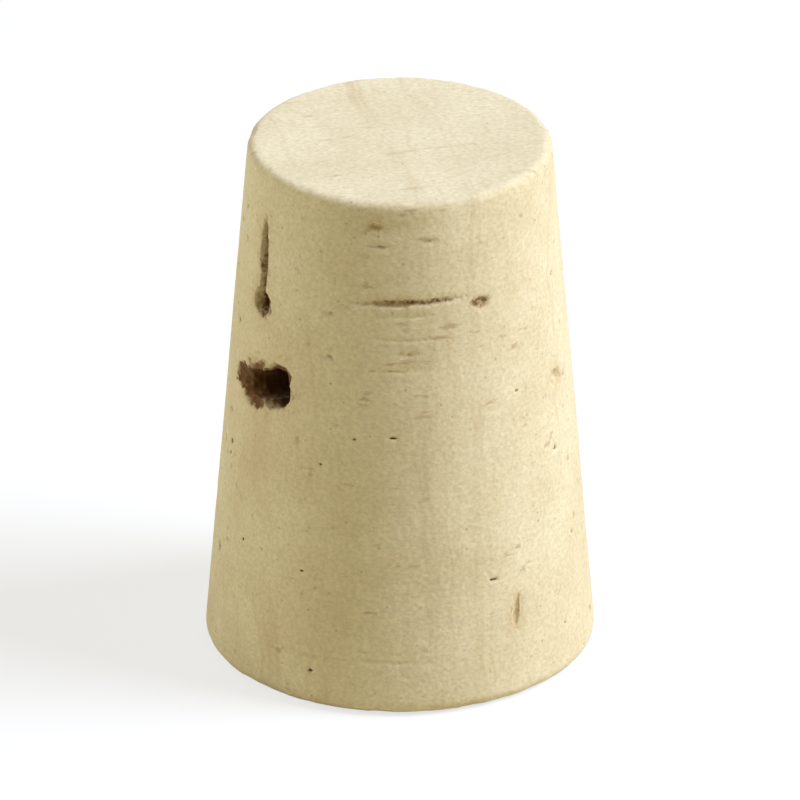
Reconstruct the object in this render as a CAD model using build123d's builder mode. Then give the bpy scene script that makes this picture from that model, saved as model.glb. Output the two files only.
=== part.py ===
from build123d import *
import math
import os

os.makedirs("parts", exist_ok=True)

# Tapered body, in millimetres. It stands on its big end at z = 0, with its axis along Z and its front at -Y
big_end_diameter = 13.0
small_end_diameter = 10.0
stopper_length = 18.0
big_rim_radius = 0.5
small_rim_radius = 0.3

# Lenticels: the bark's breathing channels, which the grinding of the taper laid open.
# A pore is a channel met end on, a streak is one met along its run, and a slit is a check up the side.
# These are the sizes of the largest of each kind.
pore_depth = 2.4
pore_length = 1.5
pore_width = 1.4
streak_depth = 0.6
streak_length = 4.2
streak_width = 0.55
slit_depth = 0.8
slit_length = 3.4
slit_width = 0.5
cut_overrun = 0.1

# A streak or slit narrows inwards to this share of its mouth.
bottom_share = 0.4

# The channels of the bark all run one way across the stopper, at this share of a turn from the right.
grain_turn_share = 0.04

# A slit stands upright, a quarter of a turn from a streak.
upright_share = 0.25

# Pores, streaks and slits: the turn from the front as a share of a full turn, the height as a share of
# the stopper's length, then depth, length and width as shares of the largest, and a lean as a share of a turn
pore_shares = [
    (-0.136, 0.592, 1.00, 1.00, 1.00, -0.030),
    (-0.162, 0.584, 0.85, 0.80, 0.75, 0.040),
    (-0.162, 0.748, 0.50, 0.50, 0.60, 0.010),
    (0.183, 0.578, 0.12, 0.42, 0.40, 0.030),
    (0.264, 0.772, 0.60, 0.52, 0.45, -0.020),
    (0.311, 0.406, 0.80, 0.67, 0.64, 0.040),
    (0.330, 0.421, 0.60, 0.51, 0.40, -0.030),
    (0.356, 0.867, 0.45, 0.39, 0.36, 0.010),
    (-0.264, 0.283, 0.70, 0.62, 0.52, 0.020),
    (-0.292, 0.883, 0.40, 0.37, 0.34, -0.040),
    (-0.333, 0.678, 0.65, 0.56, 0.49, 0.030),
    (-0.314, 0.688, 0.45, 0.39, 0.38, 0.000),
]
streak_shares = [
    (-0.003, 0.807, 0.45, 0.78, 0.75, 0.006),
    (0.083, 0.794, 0.30, 0.22, 0.62, -0.010),
    (-0.030, 0.950, 0.22, 0.40, 0.90, 0.012),
    (0.006, 0.708, 0.25, 0.40, 0.42, -0.004),
    (-0.008, 0.611, 0.22, 0.34, 0.36, 0.010),
    (0.472, 0.700, 1.00, 1.00, 0.95, -0.008),
    (0.522, 0.506, 0.55, 0.60, 0.60, 0.014),
    (0.569, 0.289, 0.90, 0.90, 0.90, 0.004),
    (0.417, 0.217, 0.70, 0.70, 0.80, -0.016),
    (0.625, 0.839, 0.75, 0.65, 0.80, 0.010),
    (0.444, 0.920, 0.55, 0.45, 0.60, -0.006),
]
slit_shares = [
    (-0.162, 0.828, 1.00, 1.00, 0.90, 0.008),
    (0.106, 0.175, 0.45, 0.55, 0.75, -0.010),
    (0.667, 0.461, 0.90, 0.80, 1.00, 0.012),
]

# Streaks across the big end: turn, the way out from its middle as a share of its radius,
# then depth, length and width
end_streak_shares = [
    (0.080, 0.55, 0.60, 0.90, 0.80),
    (0.560, 0.45, 0.50, 0.60, 0.65),
    (0.790, 0.68, 0.50, 0.50, 0.70),
]

full_turn = 360
big_end_radius = big_end_diameter / 2
small_end_radius = small_end_diameter / 2
taper = math.atan2(big_end_radius - small_end_radius, stopper_length)
grain = Vector(1, 0, 0).rotate(Axis.Z, full_turn * grain_turn_share)


def side_plane(turn_share, height_share):
    """The plane that touches the side there: x runs round the stopper, y up the side and z out of it."""
    turn = math.radians(full_turn * turn_share)
    radius = big_end_radius + (small_end_radius - big_end_radius) * height_share
    return Plane(
        origin=(radius * math.sin(turn), -radius * math.cos(turn), stopper_length * height_share),
        x_dir=(math.cos(turn), math.sin(turn), 0),
        z_dir=(math.sin(turn) * math.cos(taper), -math.cos(turn) * math.cos(taper), math.sin(taper)),
    )


def leaned(plane, lean_share):
    """The same plane with its x and y turned about its own z."""
    own_axis = Axis(plane.origin, plane.z_dir)
    return Plane(plane.origin, x_dir=plane.x_dir.rotate(own_axis, full_turn * lean_share), z_dir=plane.z_dir)


# Every streak and slit as its mouth's plane, with x along its run and z out, then its depth, length and width
clefts = []
for turn_share, height_share, depth_share, length_share, width_share, lean_share in streak_shares:
    mouth = leaned(side_plane(turn_share, height_share), lean_share)
    sizes = (streak_depth * depth_share, streak_length * length_share, streak_width * width_share)
    clefts.append((mouth, *sizes))
for turn_share, height_share, depth_share, length_share, width_share, lean_share in slit_shares:
    mouth = leaned(side_plane(turn_share, height_share), upright_share + lean_share)
    sizes = (slit_depth * depth_share, slit_length * length_share, slit_width * width_share)
    clefts.append((mouth, *sizes))
for turn_share, out_share, depth_share, length_share, width_share in end_streak_shares:
    middle = Vector(0, -big_end_radius * out_share, 0).rotate(Axis.Z, full_turn * turn_share)
    mouth = Plane(middle, x_dir=grain, z_dir=Vector(0, 0, -1))
    sizes = (streak_depth * depth_share, streak_length * length_share, streak_width * width_share)
    clefts.append((mouth, *sizes))

# The stopper: a ground cone with eased rims, and the lenticels cut out of it
with BuildPart() as stopper:
    with BuildSketch(Plane.XZ) as half_section:
        with BuildLine():
            Polyline(
                (0, 0),
                (big_end_radius, 0),
                (small_end_radius, stopper_length),
                (0, stopper_length),
                close=True,
            )
        make_face()
    revolve(axis=Axis.Z)
    fillet(stopper.edges().filter_by(GeomType.CIRCLE).sort_by(Axis.Z)[0], radius=big_rim_radius)
    fillet(stopper.edges().filter_by(GeomType.CIRCLE).sort_by(Axis.Z)[-1], radius=small_rim_radius)

    # Pores: almond-shaped bores along the grain, each drawn outside the side and cut to its depth
    for turn_share, height_share, depth_share, length_share, width_share, lean_share in pore_shares:
        skin = side_plane(turn_share, height_share)
        outward = grain if grain.dot(skin.z_dir) > 0 else -grain
        mouth = Plane(skin.origin, x_dir=skin.y_dir.cross(outward), z_dir=outward)
        tip = pore_length * length_share / 2
        side = pore_width * width_share / 2
        with BuildSketch(leaned(mouth, lean_share).offset(pore_length)) as almond:
            with BuildLine():
                ThreePointArc((-tip, 0), (0, -side), (tip, 0))
                ThreePointArc((tip, 0), (0, side), (-tip, 0))
            make_face()
        extrude(amount=-pore_length - pore_depth * depth_share, mode=Mode.SUBTRACT)

    # Streaks and slits: lens-shaped clefts that close in as they go down
    for mouth, depth, length, width in clefts:
        flare_share = 1 + (1 - bottom_share) * cut_overrun / depth
        for level, level_share in ((cut_overrun, flare_share), (-depth, bottom_share)):
            tip = length / 2 * level_share
            side = width / 2 * level_share
            with BuildSketch(mouth.offset(level)) as lens:
                with BuildLine():
                    ThreePointArc((-tip, 0), (0, -side), (tip, 0))
                    ThreePointArc((tip, 0), (0, side), (-tip, 0))
                make_face()
        loft(mode=Mode.SUBTRACT)

stopper.part.label = "stopper"
export_step(stopper.part, "parts/stopper.step")
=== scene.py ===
import math
import random

import bpy
import numpy as np
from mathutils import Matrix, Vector, kdtree, noise


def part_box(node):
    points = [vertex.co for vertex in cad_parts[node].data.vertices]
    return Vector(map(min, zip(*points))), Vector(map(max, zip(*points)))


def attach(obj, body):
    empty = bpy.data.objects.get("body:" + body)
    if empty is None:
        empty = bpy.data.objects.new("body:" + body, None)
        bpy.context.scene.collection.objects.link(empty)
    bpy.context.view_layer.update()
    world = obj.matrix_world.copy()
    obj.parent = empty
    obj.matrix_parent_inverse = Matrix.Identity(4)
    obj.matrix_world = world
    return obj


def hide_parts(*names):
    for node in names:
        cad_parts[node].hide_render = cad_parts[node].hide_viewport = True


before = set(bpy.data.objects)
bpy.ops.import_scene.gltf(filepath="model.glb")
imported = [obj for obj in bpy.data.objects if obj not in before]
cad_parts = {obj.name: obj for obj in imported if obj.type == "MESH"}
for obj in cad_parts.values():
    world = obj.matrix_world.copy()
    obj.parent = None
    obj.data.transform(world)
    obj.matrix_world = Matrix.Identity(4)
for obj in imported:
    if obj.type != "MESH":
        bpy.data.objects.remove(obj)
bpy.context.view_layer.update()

# The stopper is shaped in millimetres, and the scene is in metres
millimetres = 1000.0
low_corner, high_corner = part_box("stopper")
stopper_length = (high_corner.z - low_corner.z) * millimetres

# The bark's channels run along the grain, which lies across the stopper at this turn from the right
grain_turn = math.radians(14.4)
grain = np.array((math.cos(grain_turn), math.sin(grain_turn), 0.0))

# Eased rims of the big and the small end, in millimetres
big_rim = 0.5
small_rim = 0.3

# Mesh of the ground surface: its first even grid, in millimetres, and the most triangles that it keeps
voxel_size = 0.066
most_triangles = 190000

# Keeps a division off zero
tiny = 1e-6

# Depths under the ground form, in millimetres: the skin's, the least of a lenticel's wall, and the two depths
# between which walls coarsen and those between which painted shade darkens their lining
skin_depth = 0.03
wall_depth = 0.12
coarse_depths = (0.2, 0.9)
painted_shade_depths = (0.08, 1.1)

# Relief of the skin and of the lenticels' walls, in millimetres
outline_wander = 0.10
unevenness = 0.035
layer_relief = 0.012
cell_relief = 0.008
rim_wear = 0.08
mouth_wear = 0.07
wall_roughness = 0.11

# A wall's roughness near its mouth, as a share of what it is deep down
shallow_roughness = 0.55

# Noises that shape the relief: the size of their lumps in millimetres, and a seed
uneven_noise = (4.5, 11)
layer_wander_noise = (3.0, 12)
layer_noise = (0.55, 13)
cell_noise = (0.24, 14)
rim_noise = (0.8, 15)
wall_noises = [(0.42, 16), (0.18, 17)]
ragged_noise = (0.16, 18)

# Noises by which the lenticels wander: a share, the size of the lumps in millimetres, and the first of
# three seeds
wander_noises = [(1.0, 1.3, 1), (0.5, 0.45, 4), (0.22, 0.2, 7)]

# How far the growth layers' ridges and their darker lines stray from flat, in millimetres
layer_wander = 0.35
line_wander = 1.6

# Shares of the larger and the smaller cells in the skin's relief
large_cells = 0.35
small_cells = 0.15

# Wear of a lenticel's mouth: the share that is even all round, and the share that is ragged
even_wear = 0.7
ragged_wear = 0.5

# How far wear reaches from a rim, and how far wear, crumbs and stain reach from a lenticel, in millimetres
rim_reach = 0.35
mouth_reach = 0.13
crumb_reach = 0.18
stain_reach = 0.3

# Lenticels wander less as they come this near to an end, in millimetres
calm_margin = 1.0

# Crumbled skin round a lenticel: how brown it is, and how much of it crumbles
crumb_brown = 0.4
crumb_cover = 0.3

# How far the surface faces an end, from 0 to 1: where marks of the side stop, where a rim's wear fades out,
# and where the paler colour of the cut end comes in, partly its own tone and partly painted light
side_facing = 0.5
worn_facing = (0.9, 1.0)
cut_facing = (0.45, 0.95)

# Rounds of smoothing that take the sharp ridges off the lenticels' walls, and how far each round goes
wall_rounds = 10
smoothing_share = 0.5

# How ragged the edge of a mark is, and the width in millimetres from which marks slope gently. Narrower ones
# are steep.
edge_raggedness = 0.6
gentle_width = 0.4

# Faint marks that the front shows: turn from the front in degrees, height as a share of the length,
# then run, width and depth in millimetres, lean in degrees, and how brown the mark is
shown_marks = [
    # Streak under the small end, with the dot beside it
    (-3, 0.806, 3.6, 0.28, 0.06, 2, 0.15),
    (12, 0.808, 2.4, 0.27, 0.05, 2, 0.25),
    (29.5, 0.792, 1.1, 0.46, 0.05, -4, 0.20),
    (4, 0.780, 2.4, 0.10, 0.03, 0, 0.05),
    # Blotch under the rim, partly a faint stain and partly painted shade under the rim
    (-7, 0.946, 2.4, 0.75, 0.03, 3, 0.08),
    (-8, 0.915, 1.0, 0.20, 0.04, 0, 0.14),
    (11, 0.925, 0.6, 0.22, 0.04, 6, 0.12),
    # Faint lines and small marks below the streak, and a line along the foot
    (2, 0.735, 2.6, 0.12, 0.03, -1, 0.10),
    (-3, 0.675, 3.0, 0.13, 0.03, 1, 0.10),
    (-26, 0.690, 0.7, 0.26, 0.04, 0, 0.14),
    (-25, 0.775, 0.6, 0.22, 0.04, 8, 0.12),
    (-28, 0.105, 8.6, 0.20, 0.03, 0, 0.07),
    # Upright slit and its wider lower end
    (-58, 0.828, 3.6, 0.50, 0.03, 92, 0.30),
    (-56.5, 0.744, 1.0, 1.0, 0.08, 0, 0.45),
    # Crumbled edge of the large pore
    (-54.5, 0.594, 2.3, 1.80, 0.14, 0, 0.34),
    (-62, 0.574, 1.3, 1.05, 0.28, -8, 0.75),
    (-67, 0.582, 1.2, 1.0, 0.16, 20, 0.75),
    (-58, 0.552, 1.2, 0.62, 0.18, 0, 0.50),
    (-45.5, 0.628, 1.2, 0.70, 0.26, -6, 0.48),
]

# Faint lenticels of the front, partly closed and with a pale lining: rows like the shown marks, with no depth
# and with how pale they are
pale_lenticels = [
    (66, 0.578, 1.9, 1.9, 0, 0, 0.75),
    (38, 0.175, 1.6, 2.8, 0, 0, 0.75),
]

# How far a faint lenticel is closed
closed_share = 0.7

# Small lenticels scattered over the side: how many are drawn and their seed
lenticel_draws = 230
lenticel_seed = 41

# Their heights as shares of the length, the least width, what is added to it at most and the longest run
# in millimetres, the usual lean in degrees, and their depths as shares of the width
lenticel_heights = (0.045, 0.955)
lenticel_width = 0.09
added_width = 0.22
longest_run = 1.3
lenticel_lean = 7
lenticel_depths = (0.4, 0.9)

# A higher power makes more of them narrow
narrow_power = 2.2

# A channel that comes out aslant leaves a longer mark: the least slant that its run is worked out from,
# where 1 is square to the skin
least_end_on = 0.16

# How brown they are at the least, and what each millimetre of depth adds, partly their own brown and partly
# painted shade
shallow_brown = 0.25
brown_and_shade_per_depth = 2.6

# Fewer of them lie on the front: the turn to each side of it in degrees, the share kept there, and the widest
# one there in millimetres
front_turn = 68
front_share = 0.35
front_width = 0.15

# Strength of the finish's effects: pinholes, growth layers and rub marks in the colour, lumps and rub marks
# in the bump, then the bump's own strength and its height in millimetres
pin_share = 0.55
layer_share = 0.45
rub_share = 0.22
lump_height = 0.7
rub_height = 0.5
bump_strength = 0.5
bump_height = 0.02

# Floor: its half width in metres, its colours where it is seen and where it only lights, and its own glow
# where it is seen
floor_reach = 0.45
floor_seen = (0.9, 0.9, 0.9, 1)
floor_lighting = (0.66, 0.595, 0.41, 1)
floor_glow = 0.7

# Lamps: place and width in metres, power in watts, and colour
key_lamp = ((0.46, -0.04, 0.41), 0.34, 6.0, (0.7624, 0.824, 1.0))
fill_lamp = ((-0.52, 0.08, 0.18), 0.35, 1.35, (0.97, 1.0, 1.0))

# Surround: the colour and the strength with which it lights
surround_colour = (1.0, 0.89, 0.535, 1)
surround_strength = 0.27

# Camera: degrees above level, metres away, lens and film in millimetres, and the height that it points at
# as a share of the length
camera_elevation = math.radians(26)
camera_distance = 0.66
camera_lens = 900
camera_film = 36
camera_aim = 0.47


# Shape of the ground surface

def noise_at(points, size, seed):
    """Smooth noise between about -1 and 1 at each point, in lumps of the given size."""
    places = points / size + np.array((seed * 17.3, seed * -9.1, seed * 5.7))
    return np.array([noise.noise(place) for place in places.tolist()])


def smooth_step(values, low, high):
    """0 below low, 1 above high and a smooth rise between them."""
    share = np.clip((values - low) / (high - low), 0.0, 1.0)
    return share * share * (3.0 - 2.0 * share)


def fade(distance, reach):
    """1 at no distance, and a smooth fall to almost nothing at twice the reach."""
    return np.exp(-((distance / reach) ** 2))


def end_distance(points):
    """How far each point lies from the plane of the nearer end."""
    return np.minimum(points[:, 2], stopper_length - points[:, 2])


def read_points(mesh):
    """The mesh's points as rows."""
    points = np.empty(len(mesh.vertices) * 3)
    mesh.vertices.foreach_get("co", points)
    return points.reshape(-1, 3)


def read_normals(mesh):
    """The mesh's point normals as rows."""
    normals = np.empty(len(mesh.vertices) * 3)
    mesh.vertex_normals.foreach_get("vector", normals)
    return normals.reshape(-1, 3)


def write_points(mesh, points):
    """Moves the mesh's points to the given rows."""
    mesh.vertices.foreach_set("co", points.reshape(-1))
    mesh.update()


def store_share(mesh, name, values):
    """Keeps one value for each point, which the finish reads."""
    layer = mesh.attributes.new(name, "FLOAT", "POINT")
    layer.data.foreach_set("value", values.astype(np.float32))


class GroundForm:
    """The form that the stopper was ground to: a cone between two flat ends, with eased rims."""

    def __init__(self, points):
        """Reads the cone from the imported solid: its widest ring, and how fast the side closes in above it."""
        radius = np.hypot(points[:, 0], points[:, 1])
        widest = np.argmax(radius)
        self.wide_radius = radius[widest]
        self.wide_height = points[widest, 2]
        upper = points[:, 2] > stopper_length / 2
        self.closing = np.min((self.wide_radius - radius[upper]) / (points[upper, 2] - self.wide_height))
        self.slant = math.cos(math.atan(self.closing))

    def radius_at(self, height):
        """The radius of the ground side at a height."""
        return self.wide_radius - self.closing * (height - self.wide_height)

    def measure(self, points):
        """How deep each point lies under the form, the way straight out, and how far that faces an end."""
        radius = np.maximum(np.hypot(points[:, 0], points[:, 1]), tiny)
        height = points[:, 2]
        under_side = (self.radius_at(height) - radius) * self.slant
        lower = height < stopper_length / 2
        under_end = np.where(lower, height, stopper_length - height)
        rim = np.where(lower, big_rim, small_rim)
        to_side = np.maximum(rim - under_side, 0.0)
        to_end = np.maximum(rim - under_end, 0.0)
        on_rim = (to_side > 0) & (to_end > 0)
        from_rim_centre = np.maximum(np.hypot(to_side, to_end), tiny)
        depth = np.where(on_rim, rim - from_rim_centre, np.minimum(under_side, under_end))
        faces_end = np.where(on_rim, to_end / from_rim_centre, under_end < under_side)
        faces_side = np.where(on_rim, to_side / from_rim_centre, under_end >= under_side)
        level = faces_side * self.slant / radius
        rise = faces_end * np.where(lower, -1.0, 1.0) + faces_side * self.closing * self.slant
        out = np.stack((points[:, 0] * level, points[:, 1] * level, rise), axis=1)
        return depth, out / np.linalg.norm(out, axis=1, keepdims=True), faces_end


def evaluated_mesh(carrier):
    """The mesh that an object's modifiers make."""
    return bpy.data.meshes.new_from_object(carrier.evaluated_get(bpy.context.evaluated_depsgraph_get()))


def even_mesh(node):
    """A fine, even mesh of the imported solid, and the form that it was ground to, in millimetres."""
    blank = node.data.copy()
    points = read_points(blank) * millimetres
    write_points(blank, points)
    carrier = bpy.data.objects.new("stopper_blank", blank)
    bpy.context.scene.collection.objects.link(carrier)
    remesh = carrier.modifiers.new("even grid", "REMESH")
    remesh.mode = "VOXEL"
    remesh.voxel_size = voxel_size
    fine = evaluated_mesh(carrier)
    bpy.data.objects.remove(carrier)
    bpy.data.meshes.remove(blank)
    return fine, GroundForm(points)


def lighter_mesh(mesh):
    """The same surface with fewer triangles, fewest where it is flattest."""
    carrier = bpy.data.objects.new("stopper_heavy", mesh)
    bpy.context.scene.collection.objects.link(carrier)
    mesh.calc_loop_triangles()
    lighten = carrier.modifiers.new("lighten", "DECIMATE")
    lighten.ratio = min(1.0, most_triangles / len(mesh.loop_triangles))
    light = evaluated_mesh(carrier)
    bpy.data.objects.remove(carrier)
    bpy.data.meshes.remove(mesh)
    return light


def wall_distance(points, wall):
    """How far each point lies from the nearest lenticel wall."""
    rows = points.tolist()
    marked = np.flatnonzero(wall)
    tree = kdtree.KDTree(len(marked))
    for index in marked.tolist():
        tree.insert(rows[index], index)
    tree.balance()
    return np.array([tree.find(row)[2] for row in rows])


def fine_lenticels():
    """Small lenticels, scattered, as rows like the shown marks. Fewer and smaller ones lie on the front."""
    draw = random.Random(lenticel_seed)
    found = []
    for _ in range(lenticel_draws):
        turn = draw.uniform(-180, 180)
        height_share = draw.uniform(*lenticel_heights)
        width = lenticel_width + added_width * draw.random() ** narrow_power
        lean = draw.gauss(0, lenticel_lean)
        depth = width * draw.uniform(*lenticel_depths)
        keep = draw.random()
        if abs(turn) < front_turn and (keep > front_share or width > front_width):
            continue
        met_end_on = abs(math.sin(math.radians(turn) - grain_turn))
        run = min(width / max(met_end_on, least_end_on), longest_run)
        found.append((turn, height_share, run, width, depth, lean, shallow_brown + brown_and_shade_per_depth * depth))
    return found


def carve(points, form, marks, ragged):
    """How deep the given marks sink each point of the side, and how brown they make it, with painted shade in
    the middle.
    """
    sunk = np.zeros(len(points))
    browned_and_shaded = np.zeros(len(points))
    turn_of_point = np.arctan2(points[:, 0], -points[:, 1])
    for turn, height_share, run, width, depth, lean, brown in marks:
        rise = (points[:, 2] - height_share * stopper_length) / form.slant
        near = np.flatnonzero(np.abs(rise) < run / 2 + width)
        apart = turn_of_point[near] - math.radians(turn)
        round_way = np.arctan2(np.sin(apart), np.cos(apart)) * form.radius_at(points[near, 2])
        leaning = math.radians(lean)
        along = round_way * math.cos(leaning) + rise[near] * math.sin(leaning)
        across = rise[near] * math.cos(leaning) - round_way * math.sin(leaning)
        off_centre = (2 * along / run) ** 2 + (2 * across / width) ** 2
        bowl = np.sqrt(np.clip(1.0 - off_centre * (1.0 + edge_raggedness * ragged[near]), 0.0, 1.0))
        section = bowl if width < gentle_width else bowl ** 2
        sunk[near] = np.maximum(sunk[near], section * depth)
        # Painted shade: the brown deepens towards the mark's middle, where it sinks deepest
        browned_and_shaded[near] = np.maximum(browned_and_shaded[near], bowl ** 2 * brown)
    return np.array((sunk, browned_and_shaded))


def wandered(points, form, skin):
    """The points with the lenticels' outlines shifted a little, and with the skin back on the ground form."""
    shift = np.stack([sum(share * noise_at(points, size, seed + axis) for share, size, seed in wander_noises)
                      for axis in range(3)], axis=1)
    clear_of_ends = smooth_step(end_distance(points), 0.0, calm_margin)
    points = points + shift * (outline_wander * clear_of_ends)[:, None]
    depth, out, _ = form.measure(points)
    return points + out * np.where(depth < 0, depth, depth * skin)[:, None]


def smoothed(mesh, points, wall):
    """The points with the lenticels' walls evened out, as much as each point is wall."""
    ends = np.empty(len(mesh.edges) * 2, dtype=np.int32)
    mesh.edges.foreach_get("vertices", ends)
    first, second = ends.reshape(-1, 2).T
    count = np.maximum(np.bincount(ends, minlength=len(points)), 1)
    for _ in range(wall_rounds):
        sums = [np.bincount(first, points[second, axis], len(points))
                + np.bincount(second, points[first, axis], len(points)) for axis in range(3)]
        middle = np.stack(sums, axis=1) / count[:, None]
        points = points + (middle - points) * (smoothing_share * wall)[:, None]
    return points


def roughened(mesh, points, wall, depth):
    """The points with the lenticels' walls coarse and crumbled, the more so the deeper they lie."""
    write_points(mesh, points)
    coarse = sum(noise_at(points, *lumps) / len(wall_noises) for lumps in wall_noises)
    coarser = shallow_roughness + (1.0 - shallow_roughness) * smooth_step(depth, *coarse_depths)
    return points - read_normals(mesh) * (wall_roughness * coarse * wall * coarser)[:, None]


def skin_relief(points, faces_end, ragged):
    """How far uneven grinding, the growth layers' ridges, cells and worn rims sink the skin."""
    uneven = 0.5 + 0.5 * noise_at(points, *uneven_noise)
    across_layers = points @ grain + layer_wander * noise_at(points, *layer_wander_noise)
    layer = np.abs(noise_at(np.outer(across_layers, (1.0, 0.0, 0.0)), *layer_noise))
    cell = 0.5 + large_cells * noise_at(points, *cell_noise) + small_cells * ragged
    at_rim = fade(end_distance(points), rim_reach) * (1.0 - smooth_step(faces_end, *worn_facing))
    worn = np.maximum(noise_at(points, *rim_noise), 0.0) * at_rim
    return unevenness * uneven + layer_relief * layer + cell_relief * cell + rim_wear * worn


def ground_stopper():
    """The stopper's ground surface with its open lenticels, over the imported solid's form."""
    mesh, form = even_mesh(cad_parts["stopper"])
    points = read_points(mesh)
    skin = 1.0 - smooth_step(form.measure(points)[0], skin_depth, 3 * skin_depth)
    wall = 1.0 - skin
    points = smoothed(mesh, wandered(points, form, skin), wall)
    depth, out, faces_end = form.measure(points)
    points = roughened(mesh, points, wall, depth)

    # Marks and broken mouths sink the skin and press down the walls just under it, so that no lip is left
    ragged = noise_at(points, *ragged_noise)
    from_wall = wall_distance(points, depth > wall_depth)
    mouth = fade(from_wall, mouth_reach) * (even_wear + ragged_wear * ragged)
    marks = shown_marks + fine_lenticels()
    marked, browned_and_shaded = carve(points, form, marks, ragged) * (faces_end < side_facing)
    broken = marked + mouth_wear * mouth
    pressed = broken * np.clip(1.0 - depth / np.maximum(2.0 * broken, tiny), 0.0, 1.0)
    points -= out * (skin_relief(points, faces_end, ragged) * skin + pressed)[:, None]

    # Faint lenticels close in part, and what stands out of the ground form goes back to it
    depth, out, faces_end = form.measure(points)
    paled = carve(points, form, pale_lenticels, np.zeros(len(points)))[1]
    points += out * np.where(depth < 0, depth, closed_share * depth * wall * paled)[:, None]

    # What the finish reads: how dark a lenticel is at a point, partly its brown lining and partly painted shade
    # that deepens down its walls, the stain round it, and which face it is on
    shadowed = smooth_step(depth, *painted_shade_depths)
    crumbled = crumb_brown * fade(from_wall, crumb_reach) * np.clip(crumb_cover + ragged, 0.0, 1.0)
    lining_and_shade = np.maximum(shadowed * wall, np.maximum(browned_and_shaded, crumbled * skin)) * (1.0 - paled)
    write_points(mesh, points / millimetres)
    store_share(mesh, "lining_and_shade", lining_and_shade)
    store_share(mesh, "stain", fade(from_wall, stain_reach))
    store_share(mesh, "cut_end", smooth_step(faces_end, *cut_facing))
    mesh = lighter_mesh(mesh)
    mesh.shade_smooth()
    piece = bpy.data.objects.new("ground_cork", mesh)
    bpy.context.scene.collection.objects.link(piece)
    return piece


# Finish of the cork

def screen_colour(red, green, blue):
    """A colour given in 8-bit screen values, as the linear colour that a shader takes."""
    shares = [value / 255 for value in (red, green, blue)]
    return [s / 12.92 if s <= 0.04045 else ((s + 0.055) / 1.055) ** 2.4 for s in shares] + [1.0]


def feed(tree, socket, value):
    """Gives a socket a link or a plain value."""
    if isinstance(value, bpy.types.NodeSocket):
        tree.links.new(value, socket)
    else:
        socket.default_value = value


def lay(tree, kind, settings=None, **sockets):
    """Adds a node with its own settings. A socket, named with _ for a space, takes a value or a link."""
    node = tree.nodes.new(kind)
    for name, value in (settings or {}).items():
        setattr(node, name, value)
    for name, value in sockets.items():
        feed(tree, node.inputs[name.replace("_", " ")], value)
    return node


def reckon(tree, operation, first, second):
    """A Math node's result. Each term is a number or a link."""
    node = lay(tree, "ShaderNodeMath", {"operation": operation})
    feed(tree, node.inputs[0], first)
    feed(tree, node.inputs[1], second)
    return node.outputs["Value"]


def times(tree, first, second):
    """The product of two numbers or links."""
    return reckon(tree, "MULTIPLY", first, second)


def blend(tree, factor, first, second, way="MIX"):
    """A colour mixed from two."""
    settings = {"data_type": "RGBA", "blend_type": way}
    return lay(tree, "ShaderNodeMix", settings, Factor=factor, A=first, B=second).outputs["Result"]


def spread(tree, value, low, high, to_low=0.0, to_high=1.0):
    """A value stretched smoothly from one range to another."""
    node = lay(tree, "ShaderNodeMapRange", {"interpolation_type": "SMOOTHSTEP"}, Value=value, From_Min=low,
               From_Max=high, To_Min=to_low, To_Max=to_high)
    return node.outputs["Result"]


def grain_places(tree, stretch=(1, 1, 1)):
    """Places in millimetres, with x along the grain and z up the stopper."""
    places = lay(tree, "ShaderNodeTexCoord")
    turned = lay(tree, "ShaderNodeMapping", Vector=places.outputs["Object"], Rotation=(0, 0, -grain_turn))
    scaled = lay(tree, "ShaderNodeMapping", Vector=turned.outputs["Vector"],
                 Scale=[millimetres * share for share in stretch])
    return scaled.outputs["Vector"]


def noise_texture(tree, places, per_mm, detail, roughness):
    """Noise between 0 and 1, with about so many lumps to the millimetre."""
    node = lay(tree, "ShaderNodeTexNoise", Vector=places, Scale=per_mm, Detail=detail, Roughness=roughness)
    return node.outputs["Fac"]


def point_share(tree, name):
    """A value that the mesh keeps for each point."""
    return lay(tree, "ShaderNodeAttribute", {"attribute_name": name}).outputs["Fac"]


def new_group(name, inputs, outputs):
    """An empty node group with named sockets."""
    group = bpy.data.node_groups.new(name, "ShaderNodeTree")
    for socket, kind in inputs:
        group.interface.new_socket(name=socket, in_out="INPUT", socket_type=kind)
    for socket, kind in outputs:
        group.interface.new_socket(name=socket, in_out="OUTPUT", socket_type=kind)
    return group, group.nodes.new("NodeGroupInput").outputs, group.nodes.new("NodeGroupOutput").inputs


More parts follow.
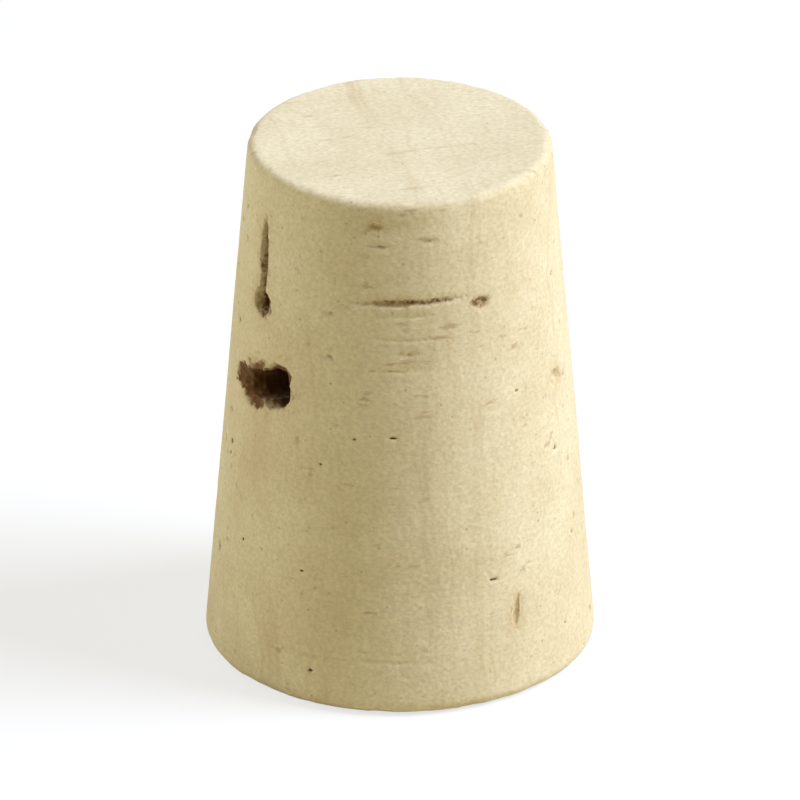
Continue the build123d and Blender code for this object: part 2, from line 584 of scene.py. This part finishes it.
def cork_grain_group():
    """Mottled cork: clouds and cells of two tans, with brown pinholes and with flecks along the grain."""
    colours = [(name, "NodeSocketColor") for name in ("Pale", "Deep", "Fleck")]
    group, given, result = new_group("cork_grain", colours + [("Fleck Share", "NodeSocketFloat")],
                                     [("Color", "NodeSocketColor"), ("Height", "NodeSocketFloat")])
    places = grain_places(group)
    clouds = noise_texture(group, places, per_mm=0.32, detail=5.0, roughness=0.62)
    cells = noise_texture(group, grain_places(group, (0.7, 1.0, 1.0)), per_mm=8.0, detail=3.0, roughness=0.65)
    lumps = lay(group, "ShaderNodeTexVoronoi", Vector=places, Scale=6.0).outputs["Distance"]
    tan = blend(group, spread(group, clouds, 0.30, 0.72), given["Pale"], given["Deep"])
    shade = spread(group, cells, 0.28, 0.72, to_low=0.88, to_high=1.07)
    celled = blend(group, 1.0, tan, shade, "MULTIPLY")

    # One pinhole in a few of the Voronoi cells, picked by the cell's own chance colour
    pins = lay(group, "ShaderNodeTexVoronoi", Vector=places, Scale=2.6).outputs
    chance = lay(group, "ShaderNodeSeparateColor", Color=pins["Color"]).outputs["Red"]
    pin = times(group, spread(group, pins["Distance"], 0.16, 0.07), spread(group, chance, 0.62, 0.95))
    pinned = blend(group, times(group, pin, pin_share), celled, given["Fleck"])

    along_grain = grain_places(group, (0.35, 1.5, 1.5))
    streaked = noise_texture(group, along_grain, per_mm=1.7, detail=3.0, roughness=0.55)
    fleck = times(group, spread(group, streaked, 0.63, 0.74), given["Fleck Share"])
    group.links.new(blend(group, fleck, pinned, given["Fleck"]), result["Color"])
    group.links.new(reckon(group, "ADD", times(group, lumps, lump_height), cells), result["Height"])
    return group


def growth_layer_group():
    """The bark's yearly layers: thin, broken, darker lines across the grain."""
    group, given, result = new_group("growth_layers", [("Spacing Share", "NodeSocketFloat")],
                                     [("Mask", "NodeSocketFloat")])
    places = grain_places(group)
    along_grain = lay(group, "ShaderNodeSeparateXYZ", Vector=places).outputs["X"]
    wander = noise_texture(group, places, per_mm=0.22, detail=3.0, roughness=0.5)
    strayed = reckon(group, "ADD", along_grain, times(group, wander, line_wander))
    rings = lay(group, "ShaderNodeTexNoise", {"noise_dimensions": "1D"}, W=strayed,
                Scale=given["Spacing Share"], Detail=3.0, Roughness=0.7).outputs["Fac"]
    in_layer = grain_places(group, (1.0, 0.3, 0.3))
    broken = noise_texture(group, in_layer, per_mm=0.8, detail=3.0, roughness=0.6)
    line = times(group, spread(group, rings, 0.52, 0.68), spread(group, broken, 0.35, 0.7))
    group.links.new(line, result["Mask"])
    return group


def lenticel_group():
    """Lenticels: a brown stain round each mouth and a brown lining, made darker with painted shade as it goes
    down.
    """
    colours = [(name, "NodeSocketColor") for name in ("Color", "Stain", "Lining", "Depths")]
    group, given, result = new_group("lenticel_lining_and_shade", colours,
                                     [("Color", "NodeSocketColor"), ("Mask", "NodeSocketFloat")])
    crumbs = noise_texture(group, grain_places(group), per_mm=4.5, detail=3.0, roughness=0.65)
    patches = spread(group, crumbs, 0.35, 0.75, to_low=0.1, to_high=0.75)
    stained = blend(group, times(group, point_share(group, "stain"), patches), given["Color"], given["Stain"])
    crumbling = spread(group, crumbs, 0.3, 0.7, to_low=0.5, to_high=1.5)
    uneven = times(group, point_share(group, "lining_and_shade"), crumbling)
    lined = spread(group, uneven, 0.03, 0.28)
    brown = blend(group, lined, stained, given["Lining"])
    # Painted shade: the deepest lining takes the darkest colour, over the lenticels' own dark brown
    dark = blend(group, spread(group, uneven, 0.25, 0.85), brown, given["Depths"])
    group.links.new(dark, result["Color"])
    group.links.new(lined, result["Mask"])
    return group


def place_group(tree, group, **sockets):
    """Places a node group in a material with its own values."""
    return lay(tree, "ShaderNodeGroup", {"node_tree": group}, **sockets).outputs


def new_material(name):
    """An empty material, its nodes and its output."""
    material = bpy.data.materials.new(name)
    material.use_nodes = True
    material.node_tree.nodes.clear()
    return material, material.node_tree, material.node_tree.nodes.new("ShaderNodeOutputMaterial")


def natural_cork():
    """Dry natural cork: a ground side, cut ends paler partly as painted light, growth layers and brown
    lenticels.
    """
    material, tree, output = new_material("natural cork")
    grain_group = cork_grain_group()
    side = place_group(tree, grain_group, Pale=screen_colour(225, 212, 175),
                       Deep=screen_colour(215, 199, 159), Fleck=screen_colour(164, 128, 84), Fleck_Share=0.5)
    # Cut ends painted paler: partly the ends' own tone and partly painted light of the brightly lit top
    end = place_group(tree, grain_group, Pale=screen_colour(229, 217, 184),
                      Deep=screen_colour(219, 205, 169), Fleck=screen_colour(178, 146, 102), Fleck_Share=0.35)
    layers = place_group(tree, growth_layer_group(), Spacing_Share=0.75)["Mask"]
    on_end = point_share(tree, "cut_end")
    ground = blend(tree, on_end, side["Color"], end["Color"])
    layered = blend(tree, times(tree, layers, layer_share), ground, screen_colour(190, 163, 116))

    # Fine marks of the grinding run round the side
    round_side = grain_places(tree, (0.12, 0.12, 3.0))
    marks = noise_texture(tree, round_side, per_mm=2.6, detail=3.0, roughness=0.6)
    off_end = reckon(tree, "SUBTRACT", 1.0, on_end)
    rub = times(tree, spread(tree, marks, 0.55, 0.75), times(tree, off_end, rub_share))
    rubbed = blend(tree, rub, layered, screen_colour(200, 177, 132))
    # Lining is the lenticels' own brown; the darkest colour is partly their dark filling and partly painted
    # shade
    lined = place_group(tree, lenticel_group(), Color=rubbed, Stain=screen_colour(186, 154, 104),
                        Lining=screen_colour(112, 79, 40), Depths=screen_colour(78, 49, 17))

    ridges = times(tree, marks, times(tree, off_end, rub_height))
    bump = lay(tree, "ShaderNodeBump", Strength=bump_strength, Distance=bump_height / millimetres,
               Height=reckon(tree, "ADD", side["Height"], ridges))
    roughness = spread(tree, lined["Mask"], 0.0, 1.0, to_low=0.78, to_high=0.96)
    shader = lay(tree, "ShaderNodeBsdfPrincipled", Base_Color=lined["Color"], Normal=bump.outputs["Normal"],
                 Roughness=roughness, Specular_IOR_Level=0.2, Sheen_Weight=0.10, Sheen_Roughness=0.5)
    tree.links.new(shader.outputs["BSDF"], output.inputs["Surface"])
    return material


# Floor, light and camera

def background_seen(tree):
    """1 where the background itself is seen, straight on or in a gloss, and 0 where it only lights."""
    path = lay(tree, "ShaderNodeLightPath").outputs
    in_gloss = reckon(tree, "MAXIMUM", path["Is Glossy Ray"], path["Is Transmission Ray"])
    return reckon(tree, "MAXIMUM", path["Is Camera Ray"], in_gloss)


def mixed_shader(tree, factor, first, second):
    """A shader mixed from two nodes' shaders."""
    node = tree.nodes.new("ShaderNodeMixShader")
    for socket, link in zip(node.inputs, (factor, first.outputs[0], second.outputs[0])):
        tree.links.new(link, socket)
    return node.outputs["Shader"]


def studio_floor():
    """A white floor that keeps the stopper's soft shadow."""
    corners = [(-floor_reach, -floor_reach, 0), (floor_reach, -floor_reach, 0), (floor_reach, floor_reach, 0),
               (-floor_reach, floor_reach, 0)]
    mesh = bpy.data.meshes.new("studio_floor")
    mesh.from_pydata(corners, [], [(0, 1, 2, 3)])
    floor = bpy.data.objects.new("studio_floor", mesh)
    bpy.context.scene.collection.objects.link(floor)
    material, tree, output = new_material("white floor")
    seen = background_seen(tree)
    matt = lay(tree, "ShaderNodeBsdfDiffuse", Color=blend(tree, seen, floor_lighting, floor_seen))
    white = lay(tree, "ShaderNodeEmission", Strength=1.0)
    surface = mixed_shader(tree, times(tree, seen, floor_glow), matt, white)
    tree.links.new(surface, output.inputs["Surface"])
    mesh.materials.append(material)


def softbox(name, place, size, power, colour):
    """A round soft lamp that points at the stopper."""
    lamp = bpy.data.lights.new(name, "AREA")
    lamp.shape = "DISK"
    lamp.size = size
    lamp.energy = power
    lamp.color = colour
    holder = bpy.data.objects.new(name, lamp)
    holder.location = place
    middle = Vector((0, 0, stopper_length / millimetres / 2))
    holder.rotation_euler = (middle - Vector(place)).to_track_quat("-Z", "Y").to_euler()
    bpy.context.scene.collection.objects.link(holder)


def studio_light():
    """Soft key from above the right, weak fill from the left, and a warm surround that is seen as white."""
    softbox("key_softbox", *key_lamp)
    softbox("fill_softbox", *fill_lamp)
    world = bpy.data.worlds.new("studio")
    world.use_nodes = True
    bpy.context.scene.world = world
    tree = world.node_tree
    tree.nodes.clear()
    output = tree.nodes.new("ShaderNodeOutputWorld")
    warm = lay(tree, "ShaderNodeBackground", Color=surround_colour, Strength=surround_strength)
    white = lay(tree, "ShaderNodeBackground", Color=(1, 1, 1, 1), Strength=1.0)
    tree.links.new(mixed_shader(tree, background_seen(tree), warm, white), output.inputs["Surface"])


def photo_camera():
    """The photo's view: square to the front, from above, through a long lens."""
    lens = bpy.data.cameras.new("photo_camera")
    lens.sensor_width = camera_film
    lens.lens = camera_lens
    lens.clip_start = 0.01
    lens.clip_end = 10
    camera = bpy.data.objects.new("photo_camera", lens)
    middle = Vector((0, 0, stopper_length / millimetres * camera_aim))
    towards = Vector((0, -math.cos(camera_elevation), math.sin(camera_elevation)))
    camera.location = middle + towards * camera_distance
    camera.rotation_euler = (middle - camera.location).to_track_quat("-Z", "Y").to_euler()
    bpy.context.scene.collection.objects.link(camera)
    bpy.context.scene.camera = camera


stopper = ground_stopper()
stopper.data.materials.clear()
stopper.data.materials.append(natural_cork())
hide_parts("stopper")
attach(stopper, "root")
studio_floor()
studio_light()
photo_camera()
bpy.context.scene.view_settings.view_transform = "Standard"
